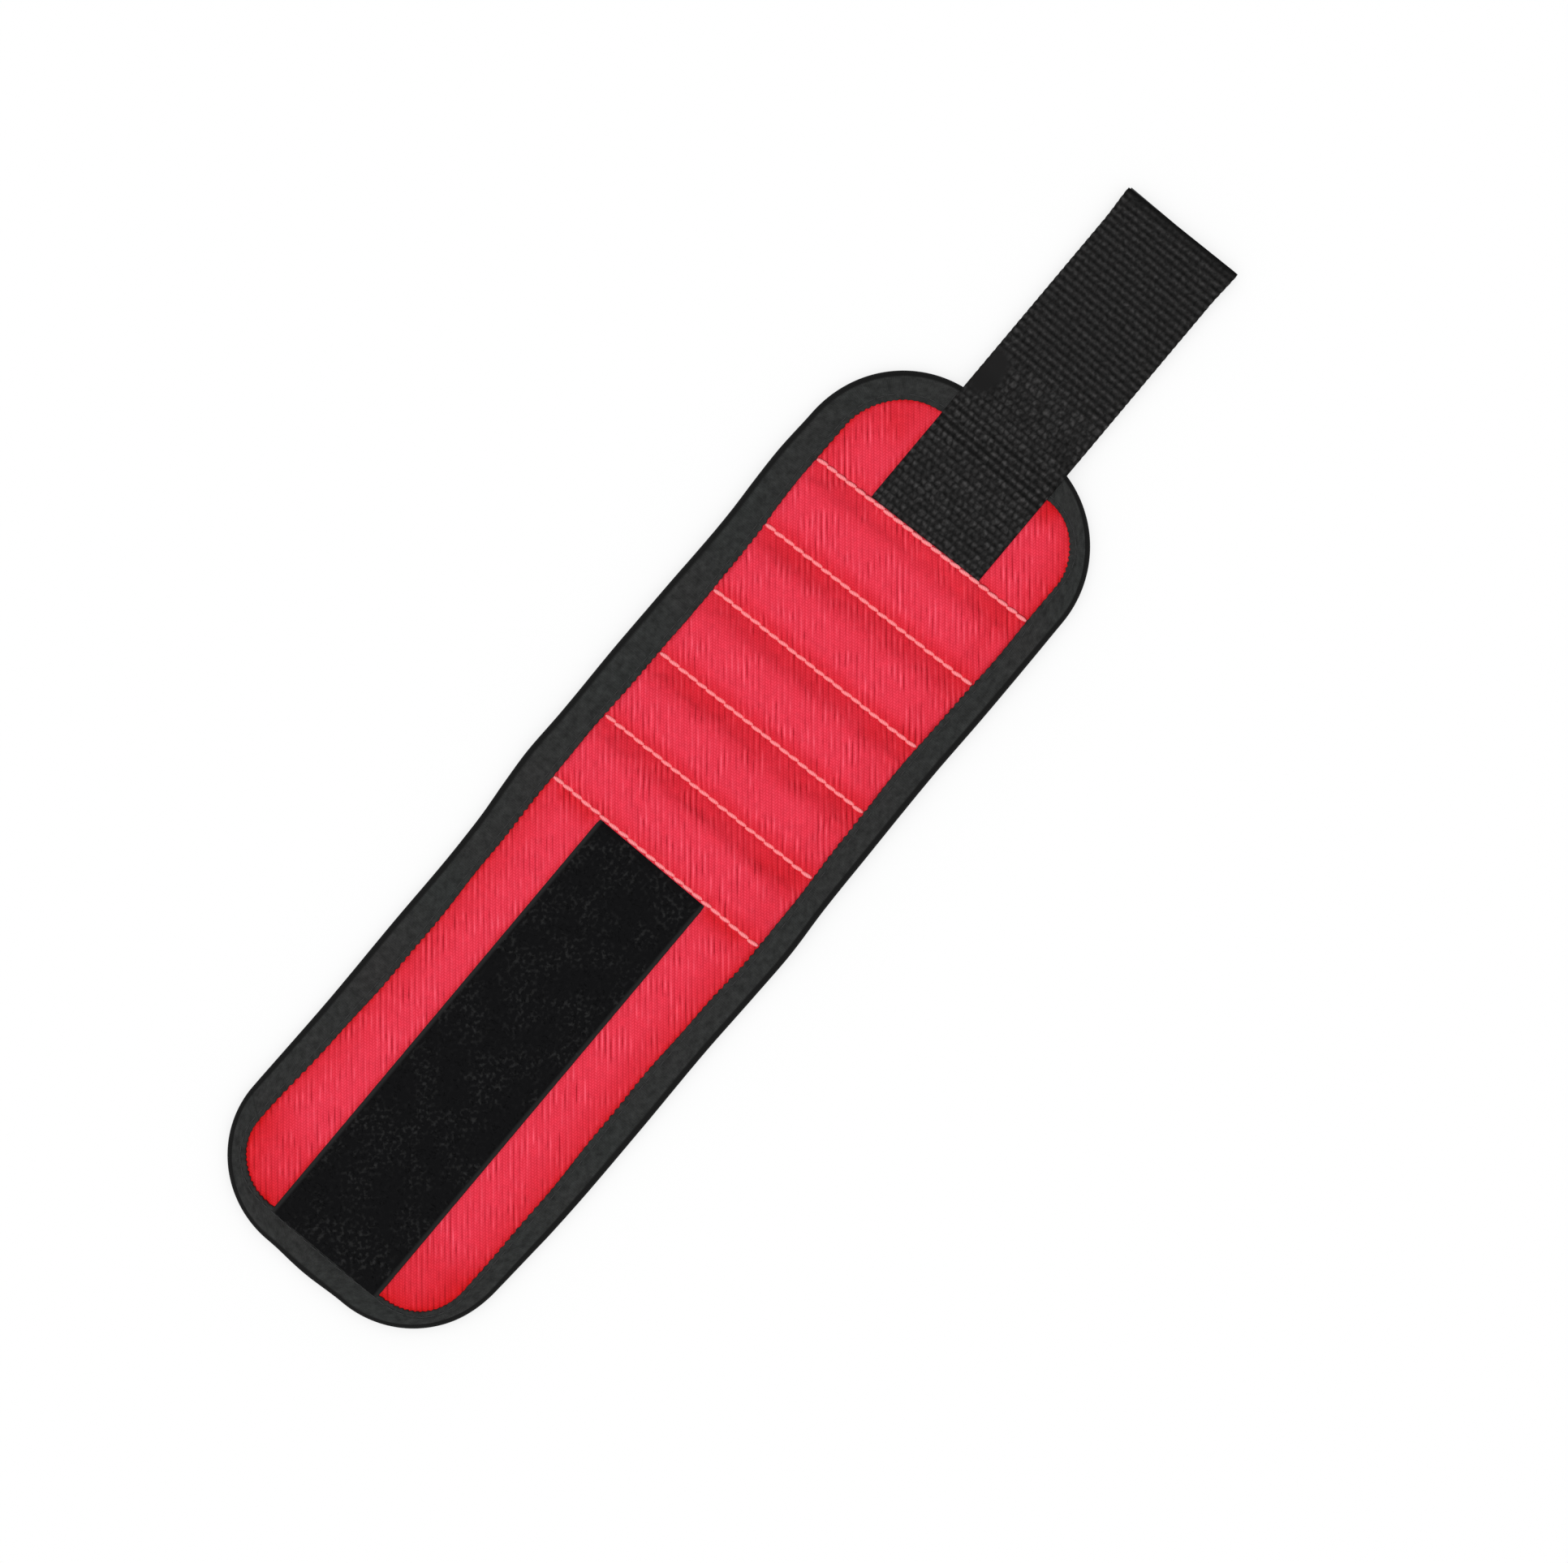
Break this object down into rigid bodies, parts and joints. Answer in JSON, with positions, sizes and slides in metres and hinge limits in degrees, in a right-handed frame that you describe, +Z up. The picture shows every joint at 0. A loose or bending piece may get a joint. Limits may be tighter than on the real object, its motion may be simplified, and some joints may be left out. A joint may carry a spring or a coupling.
{
  "type": "magnetic wristband",
  "caption": "Padded cloth wristband with sewn magnet pockets for screws and bits, bound edges, a loop tape on its tail and a webbing strap with hook tape on its head.",
  "frame": {"origin": "middle of the band's length and width, on the flat wrist side that it lies on", "axes": "+X along the band to the strap's tip, +Y across the band, +Z up to the magnet pockets"},
  "size_m": [0.38, 0.0924, 0.0059],
  "materials": {
    "red_cloth": "red twill-faced oxford cloth",
    "mesh_lining": "black air mesh over thin foam",
    "binding_tape": "black woven polyester binding",
    "loop_tape": "black brushed loop pile",
    "webbing": "black cross-ribbed webbing",
    "hook_tape": "black nylon hooks",
    "magnet": "nickel plated"
  },
  "bodies": {
    "tail_1": {"tail_1_lining": "mesh_lining", "tail_1_front_panel": "red_cloth", "tail_1_loop_tape": "loop_tape", "tail_1_binding": "binding_tape"},
    "tail_2": {"tail_2_lining": "mesh_lining", "tail_2_front_panel": "red_cloth", "tail_2_loop_tape": "loop_tape", "tail_2_binding_left": "binding_tape", "tail_2_binding_right": "binding_tape"},
    "tail_3": {"tail_3_lining": "mesh_lining", "tail_3_front_panel": "red_cloth", "tail_3_loop_tape": "loop_tape", "tail_3_binding_left": "binding_tape", "tail_3_binding_right": "binding_tape"},
    "tail_4": {"tail_4_lining": "mesh_lining", "tail_4_front_panel": "red_cloth", "tail_4_loop_tape": "loop_tape", "tail_4_binding_left": "binding_tape", "tail_4_binding_right": "binding_tape"},
    "pocket_1": {"pocket_1_back_pad": "mesh_lining", "pocket_1_cover": "red_cloth", "pocket_1_magnet_left": "magnet", "pocket_1_magnet_right": "magnet", "pocket_1_binding_left": "binding_tape", "pocket_1_binding_right": "binding_tape"},
    "pocket_2": {"pocket_2_back_pad": "mesh_lining", "pocket_2_cover": "red_cloth", "pocket_2_magnet_left": "magnet", "pocket_2_magnet_right": "magnet", "pocket_2_binding_left": "binding_tape", "pocket_2_binding_right": "binding_tape"},
    "pocket_3": {"pocket_3_back_pad": "mesh_lining", "pocket_3_cover": "red_cloth", "pocket_3_magnet_left": "magnet", "pocket_3_magnet_right": "magnet", "pocket_3_binding_left": "binding_tape", "pocket_3_binding_right": "binding_tape"},
    "pocket_4": {"pocket_4_back_pad": "mesh_lining", "pocket_4_cover": "red_cloth", "pocket_4_magnet_left": "magnet", "pocket_4_magnet_right": "magnet", "pocket_4_binding_left": "binding_tape", "pocket_4_binding_right": "binding_tape"},
    "pocket_5": {"pocket_5_back_pad": "mesh_lining", "pocket_5_cover": "red_cloth", "pocket_5_magnet_left": "magnet", "pocket_5_magnet_right": "magnet", "pocket_5_binding_left": "binding_tape", "pocket_5_binding_right": "binding_tape"},
    "head": {"head_lining": "mesh_lining", "head_front_panel": "red_cloth", "head_binding": "binding_tape", "head_strap_webbing": "webbing"},
    "strap_near": {"strap_near_webbing": "webbing", "strap_near_hook_tape": "hook_tape"},
    "strap_tip": {"strap_tip_webbing": "webbing", "strap_tip_hook_tape": "hook_tape"}
  },
  "joints": [
    {"name": "seam_fold_3", "type": "hinge", "parent": "pocket_3", "child": "pocket_2", "pos_m": [0.0072, 0, 0], "axis": [0, -1, 0], "range_deg": [-15, 29.8]},
    {"name": "seam_fold_2", "type": "hinge", "parent": "pocket_2", "child": "pocket_1", "pos_m": [-0.016, 0, 0], "axis": [0, -1, 0], "range_deg": [-15, 29.8]},
    {"name": "seam_fold_1", "type": "hinge", "parent": "pocket_1", "child": "tail_4", "pos_m": [-0.0392, 0, 0], "axis": [0, -1, 0], "range_deg": [-15, 39.8]},
    {"name": "tail_fold_3", "type": "hinge", "parent": "tail_4", "child": "tail_3", "pos_m": [-0.0769, 0, 0], "axis": [0, -1, 0], "range_deg": [-15, 51.6]},
    {"name": "tail_fold_2", "type": "hinge", "parent": "tail_3", "child": "tail_2", "pos_m": [-0.1146, 0, 0], "axis": [0, -1, 0], "range_deg": [-15, 53.4]},
    {"name": "tail_fold_1", "type": "hinge", "parent": "tail_2", "child": "tail_1", "pos_m": [-0.1523, 0, 0], "axis": [0, -1, 0], "range_deg": [-15, 53.4]},
    {"name": "seam_fold_4", "type": "hinge", "parent": "pocket_3", "child": "pocket_4", "pos_m": [0.0304, 0, 0], "axis": [0, 1, 0], "range_deg": [-15, 29.8]},
    {"name": "seam_fold_5", "type": "hinge", "parent": "pocket_4", "child": "pocket_5", "pos_m": [0.0536, 0, 0], "axis": [0, 1, 0], "range_deg": [-15, 29.8]},
    {"name": "seam_fold_6", "type": "hinge", "parent": "pocket_5", "child": "head", "pos_m": [0.0768, 0, 0], "axis": [0, 1, 0], "range_deg": [-15, 42.6]},
    {"name": "strap_fold_1", "type": "hinge", "parent": "head", "child": "strap_near", "pos_m": [0.122, 0, 0.0017], "axis": [0, 1, 0], "range_deg": [-15, 53.4]},
    {"name": "strap_fold_2", "type": "hinge", "parent": "strap_near", "child": "strap_tip", "pos_m": [0.1654, 0, 0], "axis": [0, 1, 0], "range_deg": [-15, 53.4]}
  ]
}
